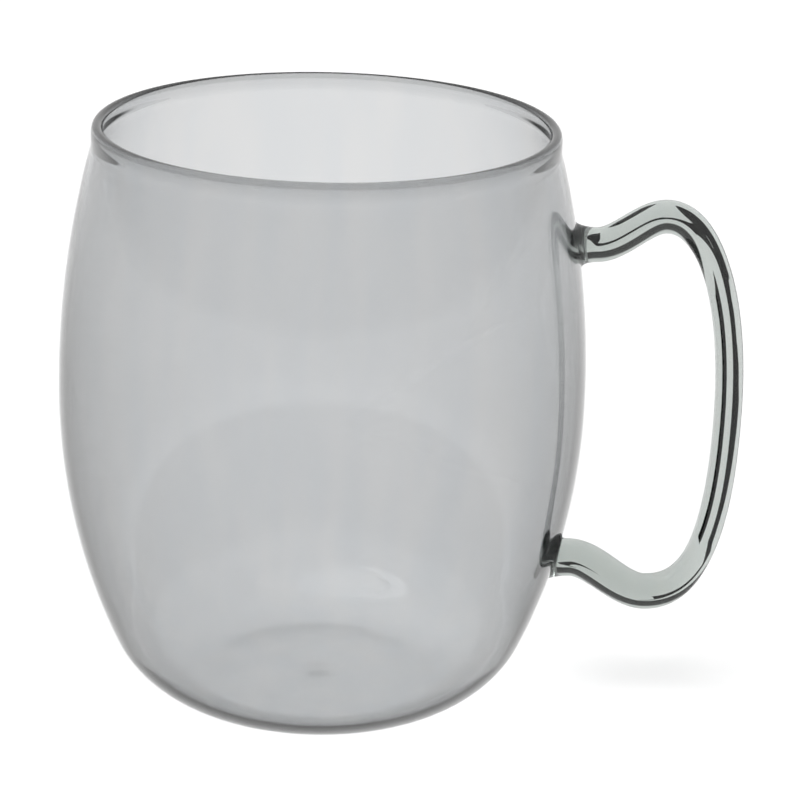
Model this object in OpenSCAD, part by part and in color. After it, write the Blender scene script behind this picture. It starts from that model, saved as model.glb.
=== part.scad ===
// Smoke-tinted glass mug: a blown barrel bowl with a bent glass rod fused to its side as the handle.
// Lengths are in mm. The bowl's axis is Z, it stands on z = 0 and the handle reaches out along +X.

/* [Bowl] */
// Height from the table to the top of the lip
bowl_h = 100; // [92:1:110]
// Outside diameter of the wall beside the lip
lip_d = 76; // [70:0.2:82]
// Outside diameter at the belly
belly_d = 89.2; // [86:0.2:98]
// Height of the belly above the table
belly_z = 53.5; // [47:0.5:58]
// Diameter of the flat that the bowl stands on
foot_d = 38.6; // [34:0.2:44]
// Outside radius of the bend between the flat and the side
corner_r = 18; // [14:0.5:20]
// Thickness of the side wall
wall_t = 1.2; // [1:0.05:1.6]
// Thickness of the floor
floor_t = 1.4; // [1.2:0.1:2.4]
// Thickness of the rounded lip
bead_t = 1.9; // [1.7:0.05:2.6]
// Height over which the wall swells outwards into the lip
bead_blend = 3.4; // [2.6:0.1:6]
// Diameter of the closing mark in the middle of the floor
mark_d = 8; // [5:0.5:12]
// Height of the closing mark above the floor
mark_h = 0.5; // [0.3:0.05:0.9]

/* [Handle] */
// Distance from the top of the lip down to the upper weld's axis
upper_drop = 19.9; // [16:0.1:24]
// Height of the lower weld's axis above the table
lower_z = 23.4; // [20:0.1:26]
// Clear gap for the fingers between the belly and the grip
finger_gap = 22.4; // [18:0.1:28]
// Height of the grip's outermost point above the table
grip_z = 51; // [44:0.5:58]
// Distance from the wall to the crest of the upper arch
crest_out = 14.6; // [12:0.2:17]
// Rise of the crest above the upper weld's axis
crest_rise = 5.1; // [3:0.1:7]
// Distance from the wall to the lowest point of the lower bend
bend_out = 16.6; // [14:0.2:19]
// Drop of the lower bend below the lower weld's axis
bend_drop = 6.2; // [3.5:0.1:7.5]
// Rod diameter at the upper weld
root_d = 5.9; // [5.2:0.1:7]
// Rod diameter at the crest
crest_d = 5.7; // [5:0.1:6.8]
// Rod diameter along the grip
grip_d = 4.8; // [4.2:0.1:6]
// Rod diameter at the lower bend
bend_d = 6.3; // [5.4:0.1:7.2]
// Rod diameter at the lower weld
tail_d = 6.6; // [5.6:0.1:7.6]
// Fullness of the turn from the crest into the grip
arch_full = 0.59; // [0.5:0.01:0.68]
// Fullness of the turn from the grip into the lower bend
bend_full = 0.68; // [0.55:0.01:0.74]
// Softness of the rod's sway beside each weld
sway = 0.34; // [0.28:0.01:0.46]

/* [Welds] */
// Length of each weld from the wall to the end of the rod
weld_len = 3; // [2:0.1:4]
// Spread of each weld beyond the rod where it runs into the wall
weld_flare = 1.2; // [0.6:0.1:1.6]

/* [Hidden] */

// Steps along each arc of the bowl's section, over its lip and across its closing mark
arc_steps = 18;
blend_steps = 10;
bead_steps = 12;
mark_steps = 8;
// Flats round the rod, rings along each quarter of its path and rings along a weld
rod_sides = 28;
span_rings = 18;
weld_rings = 8;
// Rings across a weld's contact with the wall, as shares of its spread
CONTACT = [0.25, 0.5, 0.75];

SMOKE = [0.62, 0.64, 0.64, 0.45];
SMOKE_ROD = [0.45, 0.48, 0.47, 0.7];

belly_r = belly_d / 2;
foot_r = foot_d / 2;
bead_r = bead_t / 2;

// Side above the belly: one arc, upright at the belly and aimed at the wall's end beside the lip
top_rise = bowl_h - bead_r - belly_z;
top_in = belly_r - lip_d / 2;
top_r = (top_rise * top_rise + top_in * top_in) / (2 * top_in);
top_cx = belly_r - top_r;

// The round lip is flush with the inside of that arc and stands out from its outside
lip_out = bead_t - wall_t;
bead_a = asin(top_rise / (top_r + lip_out - bead_r));
bead_cx = top_cx + (top_r + lip_out - bead_r) * cos(bead_a);
blend_a = bead_a - bead_blend / top_r * 180 / PI;

// Side below the belly: one arc, upright at the belly and tangent to the bend of the foot
foot_in = belly_r - foot_r;
foot_rise = belly_z - corner_r;
side_r = (foot_in * foot_in + foot_rise * foot_rise - corner_r * corner_r) / (2 * (foot_in - corner_r));
side_cx = belly_r - side_r;
side_a = asin(foot_rise / (side_r - corner_r));

// The same bend inside, round the thicker floor
inner_r = corner_r - floor_t;
inner_a = asin(foot_rise / (side_r - wall_t - inner_r));
inner_cx = side_cx + (side_r - wall_t - inner_r) * cos(inner_a);

upper_z = bowl_h - upper_drop;
upper_x = wall_r(upper_z);
lower_x = wall_r(lower_z);
grip_x = belly_r + finger_gap + grip_d / 2;

// Where the rod leaves the upper weld, crests, grips, bends and meets the lower weld, as [x, z]
p_root = [upper_x + weld_len, upper_z];
p_crest = [upper_x + crest_out, upper_z + crest_rise];
p_grip = [grip_x, grip_z];
p_bend = [lower_x + bend_out, lower_z - bend_drop];
p_tail = [lower_x + weld_len, lower_z];

// Four quarters of the path, each a curve from its first point to its last with two pulls between
root_pull = [sway * (p_crest[0] - p_root[0]), 0];
crest_pull = [arch_full * (p_grip[0] - p_crest[0]), 0];
grip_up = [0, arch_full * (p_crest[1] - p_grip[1])];
grip_down = [0, bend_full * (p_grip[1] - p_bend[1])];
bend_pull = [bend_full * (p_grip[0] - p_bend[0]), 0];
tail_pull = [sway * (p_bend[0] - p_tail[0]), 0];
SPANS = [
    [p_root, p_root + root_pull, p_crest - root_pull, p_crest],
    [p_crest, p_crest + crest_pull, p_grip + grip_up, p_grip],
    [p_grip, p_grip - grip_down, p_bend + bend_pull, p_bend],
    [p_bend, p_bend - tail_pull, p_tail + tail_pull, p_tail]
];

function mix(a, b, t) = a + (b - a) * t;
function ease(t) = t <= 0 ? 0 : t >= 1 ? 1 : t * t * (3 - 2 * t);

// Outside radius of the bowl at a height on its side
function wall_r(z) = z >= belly_z
    ? top_cx + sqrt(top_r * top_r - (z - belly_z) * (z - belly_z))
    : side_cx + sqrt(side_r * side_r - (belly_z - z) * (belly_z - z));

// Distance from the YZ plane to the bowl's outside, beside a weld
function wall_x(y, z) = sqrt(wall_r(z) * wall_r(z) - y * y);

// Points on an arc, without its first one
function arc(cx, cz, r, a0, a1, n) = [
    for (i = [1:n]) let (a = mix(a0, a1, i / n)) [cx + r * cos(a), cz + r * sin(a)]
];

// Outside of the wall where it swells into the lip
function lip_swell() = [
    for (i = [1:blend_steps]) let (
        t = i / blend_steps,
        a = mix(blend_a, bead_a, t),
        r = top_r + lip_out * ease(t)
    ) [top_cx + r * cos(a), belly_z + r * sin(a)]
];

// Low dome of the closing mark, from its edge to the axis
function mark() = [
    for (i = [0:mark_steps]) let (t = i / mark_steps)
        [mark_d / 2 * (1 - t), floor_t + mark_h * (1 - cos(180 * t)) / 2]
];

// Half section of the bowl: under the floor, up the outside, over the lip and down the inside
function bowl_section() = concat(
    [[0, 0], [foot_r, 0]],
    arc(foot_r, corner_r, corner_r, -90, -side_a, arc_steps),
    arc(side_cx, belly_z, side_r, -side_a, 0, arc_steps),
    arc(top_cx, belly_z, top_r, 0, blend_a, arc_steps),
    lip_swell(),
    arc(bead_cx, bowl_h - bead_r, bead_r, bead_a, bead_a + 180, bead_steps),
    arc(top_cx, belly_z, top_r - wall_t, bead_a, 0, arc_steps),
    arc(side_cx, belly_z, side_r - wall_t, 0, -inner_a, arc_steps),
    arc(inner_cx, corner_r, inner_r, -inner_a, -90, arc_steps),
    mark()
);

// Point and direction on one quarter of the handle's path
function at(s, t) = let (u = 1 - t)
    s[0] * u * u * u + s[1] * 3 * t * u * u + s[2] * 3 * t * t * u + s[3] * t * t * t;
function along(s, t) = let (u = 1 - t)
    (s[1] - s[0]) * u * u + (s[2] - s[1]) * 2 * t * u + (s[3] - s[2]) * t * t;

// Rod diameter: it thins just after the crest and thickens just before the lower bend
function rod_d(q, t) =
    q == 0 ? mix(root_d, crest_d, ease(t)) :
    q == 1 ? mix(crest_d, grip_d, ease(2 * t)) :
    q == 2 ? mix(grip_d, bend_d, ease(2 * t - 1)) :
    mix(bend_d, tail_d, ease(t));

// One ring of the rod, square to its path
function rod_ring(q, t) = let (
    c = at(SPANS[q], t),
    d = along(SPANS[q], t) / norm(along(SPANS[q], t)),
    r = rod_d(q, t) / 2
) [
    for (k = [0:rod_sides - 1]) let (a = 360 * k / rod_sides)
        [c[0] - d[1] * r * cos(a), r * sin(a), c[1] + d[0] * r * cos(a)]
];

// One ring of a weld at a radius: step 0 lies on the wall, step 1 on the end of the rod
function weld_ring(z, x_end, r, step) = [
    for (k = [0:rod_sides - 1]) let (
        a = 360 * k / rod_sides,
        p = [r * sin(a), z + r * cos(a)]
    ) [mix(wall_x(p[0], p[1]), x_end, step), p[0], p[1]]
];

// Closed skin over rings with the same number of points; its ends close on two centre points
module skin(rings, start, end) {
    n = len(rings[0]);
    m = len(rings);
    points = concat([for (r = rings) each r], [start, end]);
    sides = [
        for (j = [0:m - 2], k = [0:n - 1]) let (
            a = j * n + k,
            b = j * n + (k + 1) % n
        ) each [[a, b, a + n], [b, b + n, a + n]]
    ];
    first = [for (k = [0:n - 1]) [m * n, (k + 1) % n, k]];
    last = [for (k = [0:n - 1]) [m * n + 1, (m - 1) * n + k, (m - 1) * n + (k + 1) % n]];
    polyhedron(points = points, faces = concat(sides, first, last), convexity = 6);
}

// A weld: it lies on the wall, spreads out there and narrows in a hollow curve to the rod
module weld(z, x_end, rod_r) {
    spread_r = rod_r + weld_flare;
    contact = [for (share = CONTACT) weld_ring(z, x_end, spread_r * share, 0)];
    neck = [
        for (j = [0:weld_rings]) let (a = 90 * j / weld_rings)
            weld_ring(z, x_end, spread_r - weld_flare * sin(a), 1 - cos(a))
    ];
    skin(concat(contact, neck), [wall_x(0, z), 0, z], [x_end, 0, z]);
}

module bowl()
    color(SMOKE)
        rotate_extrude($fn = 180)
            polygon(bowl_section());

module handle()
    color(SMOKE_ROD) {
        rings = [
            for (q = [0:3], i = [(q == 0 ? 0 : 1):span_rings]) rod_ring(q, i / span_rings)
        ];
        skin(rings, [p_root[0], 0, p_root[1]], [p_tail[0], 0, p_tail[1]]);
    }

module upper_weld()
    color(SMOKE_ROD)
        weld(upper_z, p_root[0], root_d / 2);

module lower_weld()
    color(SMOKE_ROD)
        weld(lower_z, p_tail[0], tail_d / 2);

bowl();
handle();
upper_weld();
lower_weld();
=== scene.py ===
"""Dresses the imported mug: a smoke-grey blown bowl and a bent glass rod melted onto its side."""

import math

import bpy
from bpy.props import FloatProperty, FloatVectorProperty, IntProperty, PointerProperty
from mathutils import Matrix, Vector


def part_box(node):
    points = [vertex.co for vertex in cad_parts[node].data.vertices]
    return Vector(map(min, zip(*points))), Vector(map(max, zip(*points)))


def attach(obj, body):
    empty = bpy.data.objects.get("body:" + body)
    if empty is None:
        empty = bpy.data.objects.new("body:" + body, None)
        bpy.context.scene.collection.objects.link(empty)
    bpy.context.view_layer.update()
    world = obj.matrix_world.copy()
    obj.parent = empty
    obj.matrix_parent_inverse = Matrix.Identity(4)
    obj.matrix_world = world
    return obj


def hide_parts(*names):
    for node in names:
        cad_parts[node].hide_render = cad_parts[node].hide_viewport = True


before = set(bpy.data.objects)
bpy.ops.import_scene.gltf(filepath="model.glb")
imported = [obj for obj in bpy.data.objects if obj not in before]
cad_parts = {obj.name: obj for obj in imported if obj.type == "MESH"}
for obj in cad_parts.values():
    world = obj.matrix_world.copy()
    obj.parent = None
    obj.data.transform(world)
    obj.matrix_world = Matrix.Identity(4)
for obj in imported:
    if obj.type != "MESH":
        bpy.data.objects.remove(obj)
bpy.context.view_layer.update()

bl_info = {
    "name": "Smoke Glass Mug",
    "version": (1, 0, 0),
    "blender": (4, 5, 0),
    "location": "3D View > Sidebar > Mug",
    "description": "Builds a blown glass mug with a bent rod handle, its two glasses and a studio",
    "category": "Object",
}

# Points nearer to each other than this become one
MERGE_GAP = 1e-6
# How far a finished piece may reach outside the box of its nodes
BOX_SLACK = 0.001
# Control points of the rod's path, in order along it
UPPER_HEART, UPPER_WALL, ROOT, CREST, GRIP, BEND, TAIL, LOWER_WALL, LOWER_HEART = range(9)
# Steps of the rod's path between two control points
PATH_STEPS = 64
# Where along a melted foot the plain rod begins
FOOT_END = 0.9999
# The wall is looked for from this far out
RAY_START = 1.0
# Edges of the rod that turn by more than this stay sharp
SHARP_EDGE = math.radians(70)
WHITE = (1.0, 1.0, 1.0, 1.0)
BLACK = (0.0, 0.0, 0.0, 1.0)
# Tone of the glass where drawn streaks cloud it
CLOUDED = (0.965, 0.975, 0.985, 1.0)
# Drawn streaks run along Z, and are this high beside the slow waves
STREAK_STRETCH = (1.0, 1.0, 0.08)
STREAK_HEIGHT = 0.1
# Lowest and highest roughness of the drawn rod. The bowl is smooth
ROD_ROUGHNESS = (0.02, 0.035)
# Noise values at which wiped smudges and clouding streaks begin and are full
SMUDGE_NOISE = (0.35, 0.75)
STREAK_NOISE = (0.3, 0.7)
# Depths below the top at which the lip's painted dark line begins and is full: a darker crown that stands
# in for the dark line that refraction draws along the lip
PAINTED_LIP_LINE_DEPTHS = (0.0011, 0.0007)
# Half the width of the paper, and how far it lies below the foot
PAPER_HALF = 2.0
FLOOR_GAP = 0.0003
# Directions, as Z of a unit ray, over which the dark band in the surroundings comes and goes
BAND_COMES = (-0.03, 0.0)
BAND_GOES = (0.30, 0.42)
# Black cards that lie on the paper beside the mug, as corners (x, y)
CARDS = {
    "grip_card": ((0.064, 0.081), (0.066, 0.232), (0.004, 0.130), (0.040, 0.098)),
    "shoulder_card": ((0.036, 0.190), (0.066, 0.225), (0.140, 0.460), (0.108, 0.470)),
    "narrow_card": ((0.083, 0.057), (0.094, 0.047), (0.240, 0.300), (0.165, 0.330)),
}
CARD_SIDES = {"behind": 1.0, "before": -1.0}
# The painted shade about the foot, a dark round that only rays mirrored inside glass see: where it begins
# to fade, its radius and its corners
ROUND_FADE = 0.02
ROUND_RADIUS = 0.6
ROUND_CORNERS = 96
# The soft lamp shines from here towards the foot
LAMP_PLACE = (-0.3, -0.25, 1.2)


def length(name, description, default):
    """A size in metres."""
    return FloatProperty(name=name, description=description, default=default, min=0.0, precision=4,
                         unit="LENGTH")


def share(name, description, default):
    """A plain ratio."""
    return FloatProperty(name=name, description=description, default=default, min=0.0, precision=3)


def count(name, description, default):
    """A whole number of steps."""
    return IntProperty(name=name, description=description, default=default, min=3)


def angle(name, description, degrees):
    """An angle, given in degrees."""
    return FloatProperty(name=name, description=description, default=math.radians(degrees),
                         subtype="ANGLE")


def colour(name, description, default):
    """A linear colour."""
    return FloatVectorProperty(name=name, description=description, default=default, size=3,
                               min=0.0, max=1.0, subtype="COLOR")


class BowlSizes(bpy.types.PropertyGroup):
    """Sizes of the blown bowl."""

    height: length("Height", "From the table to the top of the lip", 0.100)
    lip_width: length("Lip width", "Outer width of the wall beside the lip", 0.076)
    belly_width: length("Belly width", "Outer width at the belly", 0.0892)
    belly_height: length("Belly height", "Height of the widest place", 0.0535)
    foot_width: length("Foot width", "Width of the flat underside", 0.0386)
    foot_bend: length("Foot bend", "Outer radius of the bend above the foot", 0.018)
    wall: length("Wall", "Thickness of the side wall", 0.0012)
    floor: length("Floor", "Thickness of the flat floor", 0.0014)
    bead: length("Lip bead", "Thickness of the rounded lip", 0.0019)
    bead_blend: length("Bead blend", "Length over which the wall swells outwards into the lip", 0.0034)
    mark_width: length("Mark width", "Width of the closing mark in the floor", 0.008)
    mark_height: length("Mark height", "Height of the closing mark", 0.0002)
    segments: count("Segments", "Steps around the bowl", 224)
    arc_steps: count("Arc steps", "Steps along each long arc of the section", 40)


class HandleSizes(bpy.types.PropertyGroup):
    """Sizes of the bent rod and of its melted feet."""

    upper_drop: length("Upper drop", "From the lip down to the upper joint", 0.0199)
    lower_height: length("Lower height", "Height of the lower joint", 0.0234)
    finger_gap: length("Finger gap", "Between the belly and the grip", 0.0224)
    grip_height: length("Grip height", "Height of the place that reaches out furthest", 0.051)
    crest_out: length("Crest out", "From the wall to the top of the arch", 0.0146)
    crest_rise: length("Crest rise", "From the upper joint up to the top of the arch", 0.0051)
    bend_out: length("Bend out", "From the wall to the lowest place of the rod", 0.0166)
    bend_drop: length("Bend drop", "From the lower joint down to the lowest place", 0.0062)
    root_width: length("Root width", "Rod at the upper joint", 0.0059)
    crest_width: length("Crest width", "Rod at the top of the arch", 0.0057)
    grip_width: length("Grip width", "Rod along the grip", 0.0048)
    bend_width: length("Bend width", "Rod at the lower bend", 0.0063)
    tail_width: length("Tail width", "Rod at the lower joint", 0.0066)
    arch_fullness: share("Arch fullness", "How square the upper arch is", 0.59)
    bend_fullness: share("Bend fullness", "How square the lower bend is", 0.68)
    sway: share("Sway", "How long the rod stays level near its joints", 0.34)
    weld_length: length("Weld length", "Reach of the melted foot", 0.003)
    weld_flare: length("Weld flare", "Spread of the melted foot on the wall", 0.0012)
    weld_sink: length("Weld sink", "How far the foot is melted into the wall", 0.00006)
    rings: count("Rings", "Rings along the rod", 640)
    sides: count("Sides", "Sides of the rod", 64)


class GlassLooks(bpy.types.PropertyGroup):
    """Colours and surface of the two glasses."""

    bowl_tint: colour("Bowl tint", "Darker is a deeper grey in the bowl's glass", (0.752, 0.757, 0.760))
    rod_tint: colour("Rod tint", "Darker is a deeper grey in the rod's glass", (0.862, 0.874, 0.865))
    # The crown's tone is a painted reflection: a darker lip crown that stands in for the dark line that
    # refraction draws along the lip
    painted_lip_line_tone: share("Crown tone", "Lower is a deeper tint on the lip's crown", 0.6)
    depth: FloatProperty(name="Tint depth", description="Absorption per metre", default=1000.0, min=0.0)
    ior: FloatProperty(name="IOR", description="Refraction of the glass", default=1.47, min=1.0)


class StudioLooks(bpy.types.PropertyGroup):
    """Camera and studio."""

    camera_back: length("Camera back", "Distance of the camera in front of the axis", 0.43923)
    camera_up: length("Camera up", "Height of the camera above the table", 0.20777)
    camera_yaw: angle("Camera yaw", "Turn of the camera towards the handle", 1.7215)
    camera_pitch: angle("Camera pitch", "How far the camera looks down", 19.5325)
    camera_roll: angle("Camera roll", "Turn of the camera about its own axis", 1.6031)
    lens: FloatProperty(name="Lens", description="Focal length in millimetres", default=123.024, min=1.0)
    paper: colour("Paper", "Colour of the sheet that the mug stands on", (0.9, 0.9, 0.9))
    paper_lift: share("Paper lift", "Light added to the paper where it is seen", 0.40)
    lamp_power: share("Lamp power", "Strength of the soft lamp", 1.3)
    lamp_spread: angle("Lamp spread", "How wide the soft lamp is", 45)
    fill: share("Fill", "Light from the surroundings on matte surfaces", 0.38)
    band_light: share("Band light", "What is left of the light in the dark band", 0.05)


def feed(tree, socket, value):
    """Links a socket to the input, or writes a plain value there."""
    if isinstance(value, bpy.types.NodeSocket):
        tree.links.new(value, socket)
    else:
        socket.default_value = value


def add_node(tree, kind, inputs=None, **settings):
    """Adds a node, sets its options and then feeds its inputs by name."""
    node = tree.nodes.new(kind)
    for name, value in settings.items():
        setattr(node, name, value)
    for name, value in (inputs or {}).items():
        feed(tree, node.inputs[name], value)
    return node


def math_node(tree, operation, *values):
    """Adds a math node and returns its output."""
    node = add_node(tree, "ShaderNodeMath", operation=operation)
    for socket, value in zip(node.inputs, values):
        feed(tree, socket, value)
    return node.outputs[0]


def ramp(tree, value, low, high, to_low=0.0, to_high=1.0, smooth=True):
    """Maps a value from low..high to another range, eased at both ends, and returns the result."""
    steps = {"Value": value, "From Min": low, "From Max": high, "To Min": to_low, "To Max": to_high}
    kind = "SMOOTHSTEP" if smooth else "LINEAR"
    return add_node(tree, "ShaderNodeMapRange", steps, interpolation_type=kind).outputs["Result"]


def new_tree(name, kind, inputs, outputs):
    """Makes a node group with named sockets and returns it with its two end nodes."""
    tree = bpy.data.node_groups.new(name, kind)
    for label, socket_type in inputs:
        tree.interface.new_socket(label, in_out="INPUT", socket_type=socket_type)
    for label, socket_type in outputs:
        tree.interface.new_socket(label, in_out="OUTPUT", socket_type=socket_type)
    return tree, add_node(tree, "NodeGroupInput").outputs, add_node(tree, "NodeGroupOutput").inputs


def dress_geometry(tree, geometry, glass, result):
    """Ends a geometry tree: smooth faces, real geometry and its material."""
    smooth = add_node(tree, "GeometryNodeSetShadeSmooth", {"Geometry": geometry})
    real = add_node(tree, "GeometryNodeRealizeInstances", {"Geometry": smooth.outputs[0]})
    dressed = add_node(tree, "GeometryNodeSetMaterial", {"Geometry": real.outputs[0], "Material": glass})
    feed(tree, result, dressed.outputs[0])


def run_tree(source, tree, values, name):
    """Runs a geometry tree on a source object and returns its result as a plain mesh object."""
    modifier = source.modifiers.new(tree.name, "NODES")
    modifier.node_group = tree
    for item in tree.interface.items_tree:
        if item.in_out == "INPUT" and item.name in values:
            modifier[item.identifier] = values[item.name]
    graph = bpy.context.evaluated_depsgraph_get()
    mesh = bpy.data.meshes.new_from_object(source.evaluated_get(graph), depsgraph=graph)
    if not mesh.polygons:
        raise RuntimeError(f"{tree.name} made no faces")
    source.modifiers.remove(modifier)
    bpy.data.objects.remove(source)
    mesh.name = name
    return link_object(name, mesh)


def link_object(name, data):
    """Puts new data into the scene as an object at the origin."""
    obj = bpy.data.objects.new(name, data)
    bpy.context.scene.collection.objects.link(obj)
    bpy.context.view_layer.update()
    return obj


def check_fit(piece, *nodes):
    """Stops the script if a piece leaves the box of the nodes that it replaces."""
    boxes = [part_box(node) for node in nodes]
    points = [vertex.co for vertex in piece.data.vertices]
    for axis in range(3):
        low = min(box[0][axis] for box in boxes) - BOX_SLACK
        high = max(box[1][axis] for box in boxes) + BOX_SLACK
        if min(p[axis] for p in points) < low or max(p[axis] for p in points) > high:
            raise RuntimeError(f"{piece.name} leaves the box of {', '.join(nodes)}")


def hand_in(piece, slot, *nodes):
    """Lets a finished piece stand for its CAD nodes."""
    check_fit(piece, *nodes)
    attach(piece, "root")
    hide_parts(*nodes)


def straight(start, end, steps):
    """Points of a straight stretch, without its start."""
    return [tuple(a + (b - a) * i / steps for a, b in zip(start, end)) for i in range(1, steps + 1)]


def arc(centre, radius, start, end, steps):
    """Points of an arc, without its start. The radius may be a function of the angle."""
    points = []
    for i in range(1, steps + 1):
        turn = start + (end - start) * i / steps
        r = radius(turn) if callable(radius) else radius
        points.append((centre[0] + r * math.cos(turn), centre[1] + r * math.sin(turn)))
    return points


def ease(t):
    """Smooth step from 0 to 1."""
    t = min(max(t, 0.0), 1.0)
    return t * t * (3 - 2 * t)


class BowlShape:
    """The arcs of the bowl's section, worked out from its sizes."""

    def __init__(self, bowl):
        self.bowl = bowl
        belly_r = bowl.belly_width / 2
        self.foot_r = bowl.foot_width / 2
        self.bead_r = bowl.bead / 2
        self.lip_z = bowl.height - self.bead_r
        rise = self.lip_z - bowl.belly_height
        drawn_in = belly_r - bowl.lip_width / 2
        self.top_r = (rise ** 2 + drawn_in ** 2) / (2 * drawn_in)
        self.top_x = belly_r - self.top_r
        self.lip_out = bowl.bead - bowl.wall
        self.bead_reach = self.top_r + self.lip_out - self.bead_r
        self.bead_turn = math.asin(rise / self.bead_reach)
        foot_in = belly_r - self.foot_r
        bend = bowl.foot_bend
        self.foot_rise = bowl.belly_height - bend
        self.side_r = (foot_in ** 2 + self.foot_rise ** 2 - bend ** 2) / (2 * (foot_in - bend))
        self.side_x = belly_r - self.side_r

    def wall_radius(self, z):
        """Outer radius of the side wall at a height."""
        above = z - self.bowl.belly_height
        if above >= 0:
            return self.top_x + math.sqrt(self.top_r ** 2 - above ** 2)
        return self.side_x + math.sqrt(self.side_r ** 2 - above ** 2)

    def top_radius(self, turn):
        """Radius of the outer arc above the belly, which swells into the bead at the lip."""
        left = (self.bead_turn - turn) * self.top_r / self.bowl.bead_blend
        return self.top_r + self.lip_out * ease(1 - left)

    def section(self):
        """Half section from the axis, under the floor, up the outside and down the inside to the axis."""
        bowl = self.bowl
        steps = bowl.arc_steps
        floor_steps = steps // 2
        quarter = math.pi / 2
        side_turn = math.asin(self.foot_rise / (self.side_r - bowl.foot_bend))
        inner_bend = bowl.foot_bend - bowl.floor
        inner_side = self.side_r - bowl.wall
        inner_turn = math.asin(self.foot_rise / (inner_side - inner_bend))
        inner_x = self.side_x + (inner_side - inner_bend) * math.cos(inner_turn)
        top = (self.top_x, bowl.belly_height)
        side = (self.side_x, bowl.belly_height)
        bead = (self.top_x + self.bead_reach * math.cos(self.bead_turn), self.lip_z)
        mark_r = bowl.mark_width / 2
        points = [(0.0, 0.0)]
        points += straight(points[-1], (self.foot_r, 0.0), floor_steps)
        points += arc((self.foot_r, bowl.foot_bend), bowl.foot_bend, -quarter, -side_turn, steps)
        points += arc(side, self.side_r, -side_turn, 0.0, steps)
        points += arc(top, self.top_radius, 0.0, self.bead_turn, 3 * steps)
        points += arc(bead, self.bead_r, self.bead_turn, self.bead_turn + math.pi, floor_steps)
        points += arc(top, self.top_r - bowl.wall, self.bead_turn, 0.0, steps)
        points += arc(side, inner_side, 0.0, -inner_turn, steps)
        points += arc((inner_x, bowl.foot_bend), inner_bend, -inner_turn, -quarter, steps)
        points += straight(points[-1], (mark_r, bowl.floor), floor_steps)
        for i in range(1, floor_steps + 1):
            t = i / floor_steps
            lift = bowl.mark_height * (1 - math.cos(math.pi * t)) / 2
            points.append((mark_r * (1 - t), bowl.floor + lift))
        return points


def lathe_tree():
    """Turns a section, given as a row of points, around the Z axis."""
    tree, given, result = new_tree(
        "Bowl lathe", "GeometryNodeTree",
        [("Section", "NodeSocketGeometry"), ("Segments", "NodeSocketInt"),
         ("Glass", "NodeSocketMaterial")],
        [("Bowl", "NodeSocketGeometry")])
    size = add_node(tree, "GeometryNodeAttributeDomainSize",
                    {"Geometry": given["Section"]}, component="MESH")
    around = math_node(tree, "ADD", given["Segments"], 1)
    grid = add_node(tree, "GeometryNodeMeshGrid",
                    {"Vertices X": size.outputs["Point Count"], "Vertices Y": around})
    index = add_node(tree, "GeometryNodeInputIndex").outputs[0]
    row = math_node(tree, "FLOOR", math_node(tree, "DIVIDE", math_node(tree, "ADD", index, 0.5), around))
    step = math_node(tree, "SUBTRACT", index, math_node(tree, "MULTIPLY", row, around))
    turn = math_node(tree, "MULTIPLY", math_node(tree, "DIVIDE", step, given["Segments"]), -math.tau)
    place = add_node(tree, "GeometryNodeInputPosition").outputs[0]
    point = add_node(tree, "GeometryNodeSampleIndex",
                     {"Geometry": given["Section"], "Value": place, "Index": row},
                     data_type="FLOAT_VECTOR")
    turned = add_node(tree, "ShaderNodeVectorRotate",
                      {"Vector": point.outputs["Value"], "Angle": turn}, rotation_type="Z_AXIS")
    lathed = add_node(tree, "GeometryNodeSetPosition",
                      {"Geometry": grid.outputs["Mesh"], "Position": turned.outputs["Vector"]})
    closed = add_node(tree, "GeometryNodeMergeByDistance",
                      {"Geometry": lathed.outputs[0], "Distance": MERGE_GAP})
    dress_geometry(tree, closed.outputs[0], given["Glass"], result["Bowl"])
    return tree


def rod_path(shape, handle, bowl):
    """Control points of the rod's middle line with their left and right pulls, in the XZ plane."""
    upper_z = bowl.height - handle.upper_drop
    upper_x = shape.wall_radius(upper_z)
    lower_z = handle.lower_height
    lower_x = shape.wall_radius(lower_z)
    grip_x = bowl.belly_width / 2 + handle.finger_gap + handle.grip_width / 2
    reach = handle.weld_length
    points = [
        (upper_x - reach, upper_z),
        (upper_x, upper_z),
        (upper_x + reach, upper_z),
        (upper_x + handle.crest_out, upper_z + handle.crest_rise),
        (grip_x, handle.grip_height),
        (lower_x + handle.bend_out, lower_z - handle.bend_drop),
        (lower_x + reach, lower_z),
        (lower_x, lower_z),
        (lower_x - reach, lower_z),
    ]
    root, crest, grip, bend, tail = points[ROOT:TAIL + 1]
    root_pull = handle.sway * (crest[0] - root[0])
    crest_pull = handle.arch_fullness * (grip[0] - crest[0])
    grip_up = handle.arch_fullness * (crest[1] - grip[1])
    grip_down = handle.bend_fullness * (grip[1] - bend[1])
    bend_pull = handle.bend_fullness * (grip[0] - bend[0])
    tail_pull = handle.sway * (bend[0] - tail[0])
    third = reach / 3
    pulls = [
        ((-third, 0.0), (third, 0.0)),
        ((-third, 0.0), (third, 0.0)),
        ((-third, 0.0), (root_pull, 0.0)),
        ((-root_pull, 0.0), (crest_pull, 0.0)),
        ((0.0, grip_up), (0.0, -grip_down)),
        ((bend_pull, 0.0), (-tail_pull, 0.0)),
        ((tail_pull, 0.0), (-third, 0.0)),
        ((third, 0.0), (-third, 0.0)),
        ((third, 0.0), (-third, 0.0)),
    ]
    return points, pulls


def path_curve(points, pulls):
    """Makes the rod's middle line as a curve object."""
    data = bpy.data.curves.new("rod_path", "CURVE")
    data.dimensions = "3D"
    spline = data.splines.new("BEZIER")
    spline.bezier_points.add(len(points) - 1)
    spline.resolution_u = PATH_STEPS
    for knot, point, (left, right) in zip(spline.bezier_points, points, pulls):
        knot.handle_left_type = knot.handle_right_type = "FREE"
        knot.co = (point[0], 0.0, point[1])
        knot.handle_left = (point[0] + left[0], 0.0, point[1] + left[1])
        knot.handle_right = (point[0] + right[0], 0.0, point[1] + right[1])
    return link_object("rod_path", data)


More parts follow.
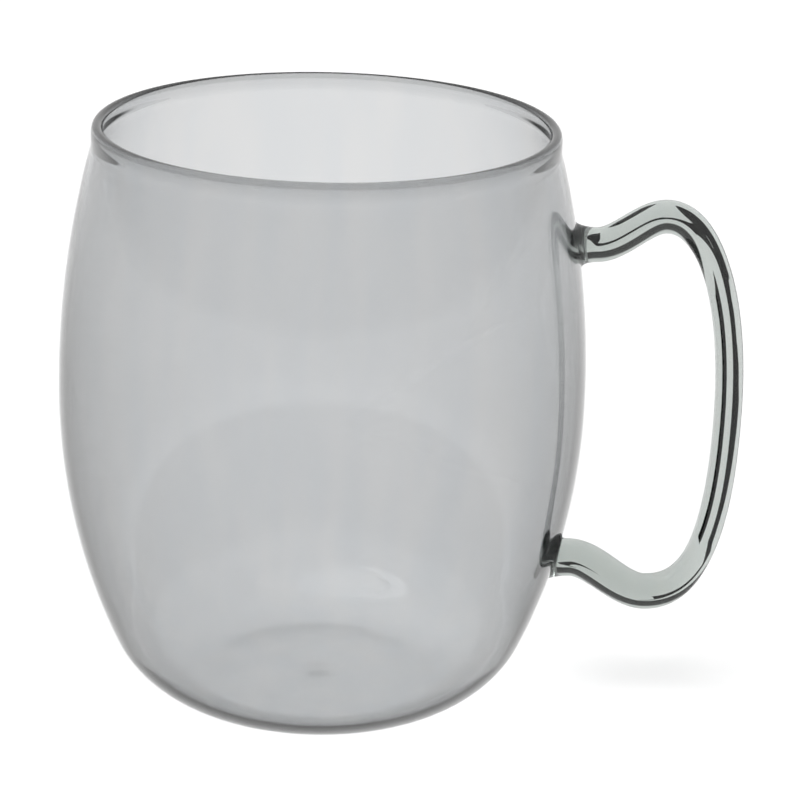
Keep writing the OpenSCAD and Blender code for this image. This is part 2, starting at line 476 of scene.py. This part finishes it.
def rod_tree():
    """Sweeps a rod of changing width along its path and melts both ends onto the bowl."""
    widths = ["Root Width", "Crest Width", "Grip Width", "Bend Width", "Tail Width"]
    tree, given, result = new_tree(
        "Rod with melted feet", "GeometryNodeTree",
        [("Path", "NodeSocketGeometry"), ("Bowl", "NodeSocketObject")]
        + [(name, "NodeSocketFloat") for name in widths + ["Flare", "Sink"]]
        + [("Rings", "NodeSocketInt"), ("Sides", "NodeSocketInt"), ("Glass", "NodeSocketMaterial")],
        [("Rod", "NodeSocketGeometry")])
    root, crest, grip, bend, tail = [given[name] for name in widths]
    station_of = add_node(tree, "GeometryNodeCaptureAttribute", {"Geometry": given["Path"]})
    station_of.capture_items.new("FLOAT", "Station")
    feed(tree, station_of.inputs["Station"], add_node(tree, "GeometryNodeInputIndex").outputs[0])
    station = station_of.outputs["Station"]
    path = add_node(tree, "GeometryNodeResampleCurve",
                    {"Curve": station_of.outputs["Geometry"], "Count": given["Rings"]}).outputs[0]

    width = ramp(tree, station, ROOT, CREST, root, crest)
    half_way = 0.5
    stretches = (
        (CREST, GRIP - half_way, crest, grip),
        (GRIP + half_way, BEND, grip, bend),
        (BEND, TAIL, bend, tail),
    )
    for start, end, before, after in stretches:
        change = ramp(tree, station, start, end, 0.0, math_node(tree, "SUBTRACT", after, before))
        width = math_node(tree, "ADD", width, change)
    out_upper = ramp(tree, station, UPPER_WALL, ROOT, smooth=False)
    out_lower = ramp(tree, station, LOWER_WALL, TAIL, smooth=False)
    out = math_node(tree, "MULTIPLY", math_node(tree, "MINIMUM", out_upper, out_lower), math.pi / 2)
    heart_upper = ramp(tree, station, UPPER_HEART, UPPER_WALL, smooth=False)
    heart_lower = ramp(tree, station, LOWER_HEART, LOWER_WALL, smooth=False)
    heart = math_node(tree, "MINIMUM", heart_upper, heart_lower)
    spread = math_node(tree, "MULTIPLY", given["Flare"],
                       math_node(tree, "SUBTRACT", 1.0, math_node(tree, "SINE", out)))
    radius = math_node(tree, "MULTIPLY", heart,
                       math_node(tree, "ADD", spread, math_node(tree, "DIVIDE", width, 2.0)))
    ring = add_node(tree, "GeometryNodeCurvePrimitiveCircle",
                    {"Resolution": given["Sides"], "Radius": 1.0})
    swept = add_node(tree, "GeometryNodeCurveToMesh",
                     {"Curve": path, "Profile Curve": ring.outputs["Curve"], "Scale": radius})

    place = add_node(tree, "GeometryNodeInputPosition").outputs[0]
    split = add_node(tree, "ShaderNodeSeparateXYZ", {"Vector": place})
    far = add_node(tree, "ShaderNodeCombineXYZ",
                   {"X": RAY_START, "Y": split.outputs["Y"], "Z": split.outputs["Z"]})
    bowl = add_node(tree, "GeometryNodeObjectInfo", {"Object": given["Bowl"]}, transform_space="RELATIVE")
    ray = add_node(tree, "GeometryNodeRaycast",
                   {"Target Geometry": bowl.outputs["Geometry"], "Source Position": far.outputs[0],
                    "Ray Direction": (-1.0, 0.0, 0.0), "Ray Length": 2 * RAY_START})
    wall = add_node(tree, "ShaderNodeSeparateXYZ", {"Vector": ray.outputs["Hit Position"]}).outputs["X"]
    is_upper = math_node(tree, "LESS_THAN", station, GRIP)
    end_index = ramp(tree, is_upper, 0.0, 1.0, TAIL, ROOT, smooth=False)
    end = add_node(tree, "GeometryNodeSampleIndex",
                   {"Geometry": given["Path"], "Value": place, "Index": end_index},
                   data_type="FLOAT_VECTOR")
    end_x = add_node(tree, "ShaderNodeSeparateXYZ", {"Vector": end.outputs["Value"]}).outputs["X"]
    way = math_node(tree, "SUBTRACT", 1.0, math_node(tree, "COSINE", out))
    in_wall = math_node(tree, "SUBTRACT", wall, given["Sink"])
    melted_x = ramp(tree, way, 0.0, 1.0, in_wall, end_x, smooth=False)
    melted = add_node(tree, "ShaderNodeCombineXYZ",
                      {"X": melted_x, "Y": split.outputs["Y"], "Z": split.outputs["Z"]})
    in_foot = math_node(tree, "LESS_THAN", way, FOOT_END)
    footed = add_node(tree, "GeometryNodeSetPosition",
                      {"Geometry": swept.outputs["Mesh"], "Selection": in_foot,
                       "Position": melted.outputs[0]})
    closed = add_node(tree, "GeometryNodeMergeByDistance",
                      {"Geometry": footed.outputs[0], "Distance": MERGE_GAP})
    dress_geometry(tree, closed.outputs[0], given["Glass"], result["Rod"])
    return tree


def blank_material(name):
    """A new material and its empty node tree."""
    material = bpy.data.materials.new(name)
    material.use_nodes = True
    material.node_tree.nodes.clear()
    return material, material.node_tree


def hand_worked_group():
    """What hand working leaves in glass: slow waves, drawn streaks and a shift of tone."""
    name = "Hand worked glass"
    if name in bpy.data.node_groups:
        return bpy.data.node_groups[name]
    tree, given, result = new_tree(
        name, "ShaderNodeTree",
        [("Vector", "NodeSocketVector"), ("Wave Scale", "NodeSocketFloat"),
         ("Streak Scale", "NodeSocketFloat"), ("Clear", "NodeSocketColor"),
         ("Clouded", "NodeSocketColor")],
        [("Height", "NodeSocketFloat"), ("Tone", "NodeSocketColor")])
    waves = add_node(tree, "ShaderNodeTexNoise",
                     {"Vector": given["Vector"], "Scale": given["Wave Scale"], "Detail": 1.0})
    drawn = add_node(tree, "ShaderNodeVectorMath",
                     {0: given["Vector"], 1: STREAK_STRETCH}, operation="MULTIPLY")
    streaks = add_node(tree, "ShaderNodeTexNoise",
                       {"Vector": drawn.outputs[0], "Scale": given["Streak Scale"], "Detail": 2.0})
    ridges = math_node(tree, "MULTIPLY", streaks.outputs["Fac"], STREAK_HEIGHT)
    feed(tree, result["Height"], math_node(tree, "ADD", waves.outputs["Fac"], ridges))
    clouds = ramp(tree, streaks.outputs["Fac"], *STREAK_NOISE)
    tone = add_node(tree, "ShaderNodeMix", {0: clouds}, data_type="RGBA")
    feed(tree, tone.inputs[6], given["Clear"])
    feed(tree, tone.inputs[7], given["Clouded"])
    feed(tree, result["Tone"], tone.outputs[2])
    return tree


def glass_material(name, tint, looks, wave_scale, wave_height, streak_scale,
                   smudge_scale=None, crown=None):
    """Clear glass that is coloured through its depth and slightly uneven on its surface.

    It is smooth unless it has smudges. A crown says between which heights the tone changes, and how; on
    the bowl it darkens the lip's crown as a painted reflection of the dark line that refraction draws
    along the lip.
    """
    material, tree = blank_material(name)
    where = add_node(tree, "ShaderNodeTexCoord").outputs["Object"]
    worked = add_node(tree, "ShaderNodeGroup", node_tree=hand_worked_group())
    values = {"Vector": where, "Wave Scale": wave_scale, "Streak Scale": streak_scale,
              "Clear": WHITE, "Clouded": CLOUDED}
    for label, value in values.items():
        feed(tree, worked.inputs[label], value)
    roughness = 0.0
    if smudge_scale:
        smudges = add_node(tree, "ShaderNodeTexNoise",
                           {"Vector": where, "Scale": smudge_scale, "Detail": 4.0})
        roughness = ramp(tree, smudges.outputs["Fac"], *SMUDGE_NOISE, *ROD_ROUGHNESS)
    tone = worked.outputs["Tone"]
    # The darker crown is a painted reflection: the dark line that refraction draws along the lip
    if crown:
        rise = add_node(tree, "ShaderNodeSeparateXYZ", {"Vector": where}).outputs["Z"]
        lip = add_node(tree, "ShaderNodeMix", {0: 1.0}, data_type="RGBA", blend_type="MULTIPLY")
        feed(tree, lip.inputs[6], tone)
        feed(tree, lip.inputs[7], ramp(tree, rise, *crown))
        tone = lip.outputs[2]
    bump = add_node(tree, "ShaderNodeBump",
                    {"Strength": 1.0, "Distance": wave_height, "Height": worked.outputs["Height"]})
    glass = add_node(tree, "ShaderNodeBsdfPrincipled",
                     {"Base Color": tone, "Roughness": roughness, "IOR": looks.ior,
                      "Transmission Weight": 1.0, "Normal": bump.outputs["Normal"]})
    inside = add_node(tree, "ShaderNodeVolumeAbsorption",
                      {"Color": (*tint, 1.0), "Density": looks.depth})
    add_node(tree, "ShaderNodeOutputMaterial",
             {"Surface": glass.outputs["BSDF"], "Volume": inside.outputs["Volume"]})
    return material


class MUG_OT_bowl(bpy.types.Operator):
    """Turns the blown bowl on its axis"""

    bl_idname = "mug.bowl"
    bl_label = "Blown Bowl"

    def execute(self, context):
        scene = context.scene
        bowl = scene.mug_bowl
        looks = scene.mug_glass
        # The lip's darker crown is a painted reflection, standing in for the dark line that refraction
        # draws along the lip
        painted_lip_line_heights = [bowl.height - depth for depth in PAINTED_LIP_LINE_DEPTHS]
        glass = glass_material("bowl_glass", looks.bowl_tint, looks, wave_scale=38.0, wave_height=0.00012,
                               streak_scale=160.0, crown=(*painted_lip_line_heights, 1.0, looks.painted_lip_line_tone))
        section = bpy.data.meshes.new("bowl_section")
        points = BowlShape(bowl).section()
        edges = [(i, i + 1) for i in range(len(points) - 1)]
        section.from_pydata([(r, 0.0, z) for r, z in points], edges, [])
        source = link_object("bowl_section", section)
        piece = run_tree(source, lathe_tree(), {"Segments": bowl.segments, "Glass": glass}, "bowl_shell")
        # The thin wall lets the light through, and Cycles would draw its shadow as if it were solid
        piece.visible_shadow = False
        hand_in(piece, "bowl_glass", "bowl")
        return {"FINISHED"}


class MUG_OT_handle(bpy.types.Operator):
    """Bends the rod and melts its two feet onto the bowl"""

    bl_idname = "mug.handle"
    bl_label = "Rod Handle"

    def execute(self, context):
        scene = context.scene
        handle = scene.mug_handle
        looks = scene.mug_glass
        bowl_piece = bpy.data.objects.get("bowl_shell")
        if bowl_piece is None:
            raise RuntimeError("the bowl comes before the handle that is melted onto it")
        glass = glass_material("rod_glass", looks.rod_tint, looks, wave_scale=90.0, wave_height=0.00008,
                               streak_scale=400.0, smudge_scale=160.0)
        points, pulls = rod_path(BowlShape(scene.mug_bowl), handle, scene.mug_bowl)
        values = {
            "Bowl": bowl_piece,
            "Root Width": handle.root_width,
            "Crest Width": handle.crest_width,
            "Grip Width": handle.grip_width,
            "Bend Width": handle.bend_width,
            "Tail Width": handle.tail_width,
            "Flare": handle.weld_flare,
            "Sink": handle.weld_sink,
            "Rings": handle.rings,
            "Sides": handle.sides,
            "Glass": glass,
        }
        piece = run_tree(path_curve(points, pulls), rod_tree(), values, "rod_handle")
        piece.data.set_sharp_from_angle(angle=SHARP_EDGE)
        hand_in(piece, "rod_glass", "handle", "upper_weld", "lower_weld")
        return {"FINISHED"}


def seen_by_camera_or_glass(tree):
    """1 for rays from the camera and for rays that glass has bent or mirrored, 0 for plain lighting."""
    path = add_node(tree, "ShaderNodeLightPath").outputs
    seen = math_node(tree, "MAXIMUM", path["Is Camera Ray"], path["Is Glossy Ray"])
    return math_node(tree, "MAXIMUM", seen, path["Is Transmission Ray"])


def paper_material(studio):
    """Plain pale paper that photographs white and keeps a soft shadow."""
    material, tree = blank_material("studio_paper")
    matte = add_node(tree, "ShaderNodeBsdfDiffuse", {"Color": (*studio.paper, 1.0)})
    lift = math_node(tree, "MULTIPLY", seen_by_camera_or_glass(tree), studio.paper_lift)
    glow = add_node(tree, "ShaderNodeEmission", {"Color": WHITE, "Strength": lift})
    both = add_node(tree, "ShaderNodeAddShader")
    feed(tree, both.inputs[0], matte.outputs[0])
    feed(tree, both.inputs[1], glow.outputs[0])
    add_node(tree, "ShaderNodeOutputMaterial", {"Surface": both.outputs[0]})
    return material


def build_world(studio):
    """White surroundings for the camera, a grey fill for matte surfaces and a dark band above the floor.

    Only rays that glass has bent see the band.
    """
    world = bpy.data.worlds.new("studio_world")
    world.use_nodes = True
    tree = world.node_tree
    tree.nodes.clear()
    direction = add_node(tree, "ShaderNodeTexCoord").outputs["Generated"]
    rise = add_node(tree, "ShaderNodeSeparateXYZ", {"Vector": direction}).outputs["Z"]
    comes = ramp(tree, rise, *BAND_COMES)
    goes = ramp(tree, rise, *BAND_GOES, 1.0, 0.0)
    band = math_node(tree, "MULTIPLY", comes, goes)
    room = ramp(tree, band, 0.0, 1.0, 1.0, studio.band_light, smooth=False)
    bent = add_node(tree, "ShaderNodeLightPath").outputs["Is Transmission Ray"]
    shown = ramp(tree, bent, 0.0, 1.0, 1.0, room, smooth=False)
    seen = seen_by_camera_or_glass(tree)
    strength = ramp(tree, seen, 0.0, 1.0, studio.fill, shown, smooth=False)
    sky = add_node(tree, "ShaderNodeBackground", {"Color": WHITE, "Strength": strength})
    add_node(tree, "ShaderNodeOutputWorld", {"Surface": sky.outputs[0]})
    return world


def stage_mesh(name, points, faces, material):
    """Adds a plain mesh for the studio."""
    mesh = bpy.data.meshes.new(name)
    mesh.from_pydata(points, [], faces)
    mesh.materials.append(material)
    obj = link_object(name, mesh)
    return obj


def build_floor(studio):
    """A wide sheet of paper, a hair below the foot so that the two faces don't coincide."""
    half = PAPER_HALF
    corners = [(-half, -half), (half, -half), (half, half), (-half, half)]
    points = [(x, y, -FLOOR_GAP) for x, y in corners]
    stage_mesh("studio_floor", points, [(0, 1, 2, 3)], paper_material(studio))


def through_the_rod(tree, path):
    """1 for rays that come through the rod, which is slightly rough, and 0 through the smooth bowl."""
    rough = math_node(tree, "SUBTRACT", path["Is Transmission Ray"], path["Is Singular Ray"])
    return math_node(tree, "MAXIMUM", rough, 0.0)


def mirrored_inside(tree, path):
    """1 near the foot for rays that were mirrored inside glass before they left it, fading outwards."""
    where = add_node(tree, "ShaderNodeTexCoord").outputs["Object"]
    distance = add_node(tree, "ShaderNodeVectorMath", {0: where}, operation="LENGTH").outputs["Value"]
    fade = ramp(tree, distance, ROUND_FADE, ROUND_RADIUS, 1.0, 0.0)
    mirrored = math_node(tree, "MINIMUM", path["Is Transmission Ray"], path["Glossy Depth"])
    return math_node(tree, "MULTIPLY", mirrored, fade)


def card_material(name, sees):
    """Black for the rays that the function given as sees picks out, and clear for all others."""
    material, tree = blank_material(name)
    path = add_node(tree, "ShaderNodeLightPath").outputs
    both = add_node(tree, "ShaderNodeMixShader", {"Fac": sees(tree, path)})
    feed(tree, both.inputs[1], add_node(tree, "ShaderNodeBsdfTransparent").outputs[0])
    black = add_node(tree, "ShaderNodeBsdfDiffuse", {"Color": BLACK})
    feed(tree, both.inputs[2], black.outputs[0])
    add_node(tree, "ShaderNodeOutputMaterial", {"Surface": both.outputs[0]})
    return material


def build_cards():
    """Black cards and a dark round on the paper, which are seen only in the glass.

    The cards lie in front of the mug as they do behind it, and the round lies below them.
    """
    black = card_material("black_card", through_the_rod)
    lie = -FLOOR_GAP / 3
    cards = []
    for name, corners in CARDS.items():
        for label, side in CARD_SIDES.items():
            points = [(x, side * y, lie) for x, y in corners]
            cards.append(stage_mesh(f"{name}_{label}", points, [(0, 1, 2, 3)], black))
    # The dark round is painted shade about the foot, seen only by rays mirrored inside the glass
    turns = [math.tau * i / ROUND_CORNERS for i in range(ROUND_CORNERS)]
    points = [(ROUND_RADIUS * math.cos(turn), ROUND_RADIUS * math.sin(turn), 2 * lie) for turn in turns]
    shade = card_material("foot_shade", mirrored_inside)
    cards.append(stage_mesh("foot_shade", points, [range(ROUND_CORNERS)], shade))
    for card in cards:
        card.visible_camera = False
        card.visible_diffuse = False
        card.visible_glossy = False
        card.visible_shadow = False
        card.visible_volume_scatter = False


def build_lamp(studio):
    """A wide soft lamp that falls evenly on the whole floor and isn't mirrored in the glass."""
    data = bpy.data.lights.new("overhead_lamp", "SUN")
    data.angle = studio.lamp_spread
    data.energy = studio.lamp_power
    lamp = link_object("overhead_lamp", data)
    lamp.location = LAMP_PLACE
    lamp.rotation_euler = (-Vector(LAMP_PLACE)).to_track_quat("-Z", "Y").to_euler()
    lamp.visible_glossy = False


def build_camera(studio):
    """The camera at the photograph's angle."""
    data = bpy.data.cameras.new("studio_camera")
    data.sensor_width = 36.0
    data.lens = studio.lens
    data.clip_start = 0.01
    camera = link_object("studio_camera", data)
    level = Matrix.Rotation(math.pi / 2 - studio.camera_pitch, 4, "X")
    yaw = Matrix.Rotation(-studio.camera_yaw, 4, "Z")
    roll = Matrix.Rotation(studio.camera_roll, 4, "Z")
    place = Matrix.Translation((0.0, -studio.camera_back, studio.camera_up))
    camera.matrix_world = place @ yaw @ level @ roll
    return camera


class MUG_OT_studio(bpy.types.Operator):
    """Sets the floor, the dark cards, the soft light and the camera"""

    bl_idname = "mug.studio"
    bl_label = "Studio"

    def execute(self, context):
        scene = context.scene
        studio = scene.mug_studio
        scene.world = build_world(studio)
        build_floor(studio)
        build_cards()
        build_lamp(studio)
        scene.camera = build_camera(studio)
        scene.view_settings.view_transform = "Standard"
        return {"FINISHED"}


class MUG_PT_builder(bpy.types.Panel):
    """Lists the mug's sizes, looks and build steps"""

    bl_idname = "MUG_PT_builder"
    bl_label = "Glass Mug"
    bl_space_type = "VIEW_3D"
    bl_region_type = "UI"
    bl_category = "Mug"

    def draw(self, context):
        scene = context.scene
        for title, group, step in (("Bowl", scene.mug_bowl, "mug.bowl"),
                                   ("Handle", scene.mug_handle, "mug.handle"),
                                   ("Glass", scene.mug_glass, None),
                                   ("Studio", scene.mug_studio, "mug.studio")):
            box = self.layout.box()
            box.label(text=title)
            for name in group.__annotations__:
                box.prop(group, name)
            if step:
                box.operator(step)


SETTINGS = {
    "mug_bowl": BowlSizes,
    "mug_handle": HandleSizes,
    "mug_glass": GlassLooks,
    "mug_studio": StudioLooks,
}
CLASSES = (*SETTINGS.values(), MUG_OT_bowl, MUG_OT_handle, MUG_OT_studio, MUG_PT_builder)


def register():
    """Adds the classes and the scene's settings."""
    for item in CLASSES:
        bpy.utils.register_class(item)
    for name, group in SETTINGS.items():
        setattr(bpy.types.Scene, name, PointerProperty(type=group))


def unregister():
    """Takes the settings and the classes away again."""
    for name in SETTINGS:
        delattr(bpy.types.Scene, name)
    for item in reversed(CLASSES):
        bpy.utils.unregister_class(item)


def main():
    """Builds the mug and its studio."""
    register()
    bpy.ops.mug.bowl()
    bpy.ops.mug.handle()
    bpy.ops.mug.studio()


if __name__ == "__main__":
    main()
